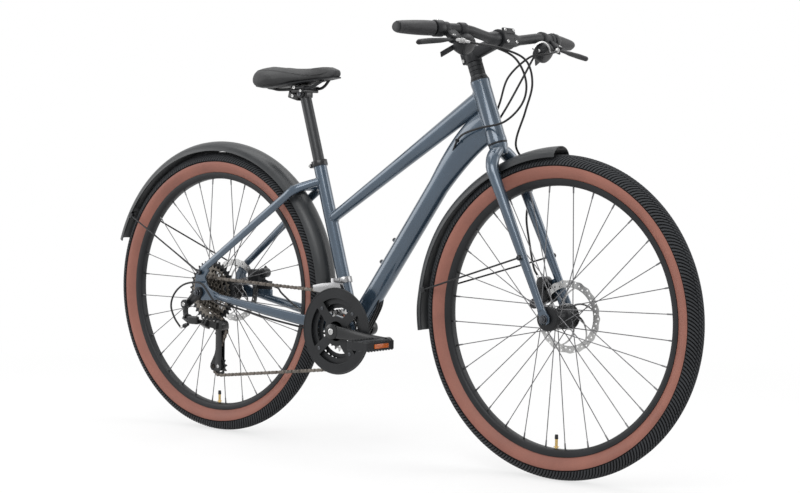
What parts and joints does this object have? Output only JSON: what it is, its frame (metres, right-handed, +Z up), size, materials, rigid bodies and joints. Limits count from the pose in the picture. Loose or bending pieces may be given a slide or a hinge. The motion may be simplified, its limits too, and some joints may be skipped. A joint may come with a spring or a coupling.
{
  "type": "commuter bike",
  "caption": "Commuter bicycle with sloping top tube, laced disc-brake wheels, chain drive with front and rear derailleurs, full mudguards, flat bar and padded saddle.",
  "frame": {"origin": "centre of the bicycle's footprint, on the ground between the tyres", "axes": "+X ahead, towards the front wheel; +Y to the rider's left; +Z up"},
  "size_m": [1.726, 0.645, 0.978],
  "materials": {
    "slate_blue_paint": "satin metallic paint",
    "black_anodised": "satin black anodised",
    "bright_steel": "brushed",
    "brown_chain_steel": "oiled, brownish",
    "black_plastic": "matte",
    "charcoal_plastic": "satin",
    "tyre_rubber": "dark tread between terracotta sidewalls",
    "grip_rubber": "matte, finely patterned",
    "saddle_cover": "matte synthetic cover",
    "cable_jacket": "satin"
  },
  "bodies": {
    "frame": {"frame": "slate_blue_paint", "headset_upper_cup": "black_anodised", "headset_lower_cup": "black_anodised", "bottom_bracket": "black_anodised", "seat_collar": "black_anodised", "rear_mudguard": "charcoal_plastic", "rear_mudguard_stay": "black_anodised", "derailleur_hanger": "black_anodised", "rear_axle": "bright_steel", "rear_brake_caliper": "black_anodised", "chain": "brown_chain_steel", "front_derailleur_body": "bright_steel", "derailleur_body": "black_anodised", "rear_brake_cable": "cable_jacket", "rear_shift_cable": "cable_jacket", "front_shift_cable": "cable_jacket"},
    "steering": {"fork": "slate_blue_paint", "stem": "black_anodised", "stem_faceplate": "black_anodised", "headset_spacers": "black_anodised", "handlebar": "black_anodised", "grip_right": "grip_rubber", "grip_left": "grip_rubber", "control_right": "black_plastic", "control_left": "black_plastic", "front_brake_caliper": "black_anodised", "front_mudguard": "charcoal_plastic", "front_mudguard_stay": "black_anodised", "front_axle": "bright_steel", "front_brake_cable": "cable_jacket"},
    "front_wheel": {"front_hub": "black_anodised", "front_rim": "black_anodised", "front_tyre": "tyre_rubber", "front_rotor": "bright_steel"},
    "rear_wheel": {"rear_hub": "black_anodised", "rear_rim": "black_anodised", "rear_tyre": "tyre_rubber", "rear_rotor": "bright_steel"},
    "cassette": {"cassette": "brown_chain_steel"},
    "crankset": {"right_crank": "black_anodised", "left_crank": "black_anodised", "chainrings": "black_anodised"},
    "right_pedal": {"right_pedal": "black_plastic"},
    "left_pedal": {"left_pedal": "black_plastic"},
    "seat": {"seatpost": "black_anodised", "saddle_rails": "black_anodised", "saddle": "saddle_cover"},
    "brake_lever_right": {"brake_lever_right": "black_anodised"},
    "brake_lever_left": {"brake_lever_left": "black_anodised"},
    "thumb_lever_right": {"thumb_lever_right": "black_plastic"},
    "thumb_lever_left": {"thumb_lever_left": "black_plastic"},
    "front_brake_arm": {"front_brake_arm": "black_anodised"},
    "rear_brake_arm": {"rear_brake_arm": "black_anodised"},
    "derailleur_outer_link": {"derailleur_outer_link": "black_anodised"},
    "derailleur_inner_link": {"derailleur_inner_link": "black_anodised"},
    "derailleur_knuckle": {"derailleur_knuckle": "black_anodised"},
    "derailleur_cage": {"derailleur_cage": "black_anodised"},
    "guide_pulley": {"guide_pulley": "black_plastic"},
    "tension_pulley": {"tension_pulley": "black_plastic"},
    "front_derailleur_cage": {"front_derailleur_cage": "bright_steel"}
  },
  "joints": [
    {"name": "steering", "type": "hinge", "parent": "frame", "child": "steering", "pos_m": [0.34748, 0, 0.72351], "axis": [-0.3469, 0, 0.9379], "range_deg": [-70, 70], "deforming": ["rear_brake_cable", "rear_shift_cable", "front_shift_cable"]},
    {"name": "front_wheel", "type": "hinge", "parent": "steering", "child": "front_wheel", "pos_m": [0.51549, 0, 0.35], "axis": [0, 1, 0], "continuous": true},
    {"name": "rear_wheel", "type": "hinge", "parent": "frame", "child": "rear_wheel", "pos_m": [-0.50451, 0, 0.35], "axis": [0, 1, 0], "continuous": true},
    {"name": "crankset", "type": "hinge", "parent": "frame", "child": "crankset", "pos_m": [-0.05951, 0, 0.2845], "axis": [0, 1, 0], "continuous": true, "deforming": ["chain"]},
    {"name": "cassette", "type": "hinge", "parent": "frame", "child": "cassette", "pos_m": [-0.50451, 0, 0.35], "axis": [0, 1, 0], "continuous": true, "deforming": ["chain"]},
    {"name": "right_pedal", "type": "hinge", "parent": "crankset", "child": "right_pedal", "pos_m": [0.10997, 0, 0.27116], "axis": [0, 1, 0], "continuous": true},
    {"name": "left_pedal", "type": "hinge", "parent": "crankset", "child": "left_pedal", "pos_m": [-0.22898, 0, 0.29784], "axis": [0, 1, 0], "continuous": true},
    {"name": "brake_lever_right", "type": "hinge", "parent": "steering", "child": "brake_lever_right", "pos_m": [0.37129, -0.198, 0.93831], "axis": [-0.4202, 0.1074, -0.9011], "range_deg": [0, 17], "stiffness_Nm_per_rad": 1.2, "springref_deg": -8.59},
    {"name": "brake_lever_left", "type": "hinge", "parent": "steering", "child": "brake_lever_left", "pos_m": [0.37129, 0.198, 0.93831], "axis": [0.4202, 0.1074, 0.9011], "range_deg": [0, 17], "stiffness_Nm_per_rad": 1.2, "springref_deg": -8.59},
    {"name": "thumb_lever_right", "type": "hinge", "parent": "steering", "child": "thumb_lever_right", "pos_m": [0.34869, -0.148, 0.92869], "axis": [-0.8616, 0, 0.5075], "range_deg": [0, 18], "stiffness_Nm_per_rad": 0.15, "springref_deg": -11.46},
    {"name": "thumb_lever_left", "type": "hinge", "parent": "steering", "child": "thumb_lever_left", "pos_m": [0.34869, 0.148, 0.92869], "axis": [0.8616, 0, -0.5075], "range_deg": [0, 18], "stiffness_Nm_per_rad": 0.15, "springref_deg": -11.46},
    {"name": "front_brake_arm", "type": "hinge", "parent": "steering", "child": "front_brake_arm", "pos_m": [0.4442, 0.0558, 0.3945], "axis": [0, 1, 0], "range_deg": [0, 21]},
    {"name": "rear_brake_arm", "type": "hinge", "parent": "frame", "child": "rear_brake_arm", "pos_m": [-0.42951, 0.0663, 0.389], "axis": [0, 1, 0], "range_deg": [0, 21]},
    {"name": "seatpost", "type": "slide", "parent": "frame", "child": "seat", "axis": [-0.284, 0, 0.9588], "range_m": [-0.06, 0.05]},
    {"name": "derailleur_shift", "type": "hinge", "parent": "frame", "child": "derailleur_outer_link", "pos_m": [-0.52604, -0.08999, 0.2863], "axis": [0.1157, 0.5554, 0.8235], "range_deg": [-19, 26], "deforming": ["chain"]},
    {"name": "derailleur_inner_link", "type": "hinge", "parent": "frame", "child": "derailleur_inner_link", "pos_m": [-0.52697, -0.08001, 0.2797], "axis": [0.1157, 0.5554, 0.8235], "range_deg": [-19, 26]},
    {"name": "derailleur_knuckle", "type": "hinge", "parent": "derailleur_outer_link", "child": "derailleur_knuckle", "pos_m": [-0.47455, -0.08999, 0.27906], "axis": [0.1157, 0.5554, 0.8235], "range_deg": [-26, 19], "deforming": ["chain"]},
    {"name": "derailleur_cage", "type": "hinge", "parent": "derailleur_knuckle", "child": "derailleur_cage", "pos_m": [-0.43251, -0.0548, 0.272], "axis": [0, 1, 0], "range_deg": [-45, 20], "stiffness_Nm_per_rad": 0.8, "deforming": ["chain"]},
    {"name": "guide_pulley", "type": "hinge", "parent": "derailleur_cage", "child": "guide_pulley", "pos_m": [-0.45543, -0.0477, 0.26308], "axis": [0, 1, 0], "continuous": true, "deforming": ["chain"]},
    {"name": "tension_pulley", "type": "hinge", "parent": "derailleur_cage", "child": "tension_pulley", "pos_m": [-0.45666, -0.0477, 0.16759], "axis": [0, 1, 0], "continuous": true, "deforming": ["chain"]},
    {"name": "front_derailleur", "type": "hinge", "parent": "frame", "child": "front_derailleur_cage", "pos_m": [-0.09351, -0.031, 0.3465], "axis": [-1, 0, 0], "range_deg": [0, 23], "deforming": ["chain"]}
  ],
  "couplings": [
    {"joint": "cassette", "follows": "crankset", "ratio": 2.4444},
    {"joint": "guide_pulley", "follows": "crankset", "ratio": -4},
    {"joint": "tension_pulley", "follows": "crankset", "ratio": 4},
    {"joint": "front_brake_arm", "follows": "brake_lever_right", "ratio": 1.2},
    {"joint": "rear_brake_arm", "follows": "brake_lever_left", "ratio": 1.2},
    {"joint": "derailleur_inner_link", "follows": "derailleur_shift", "ratio": 1},
    {"joint": "derailleur_knuckle", "follows": "derailleur_shift", "ratio": -1}
  ]
}
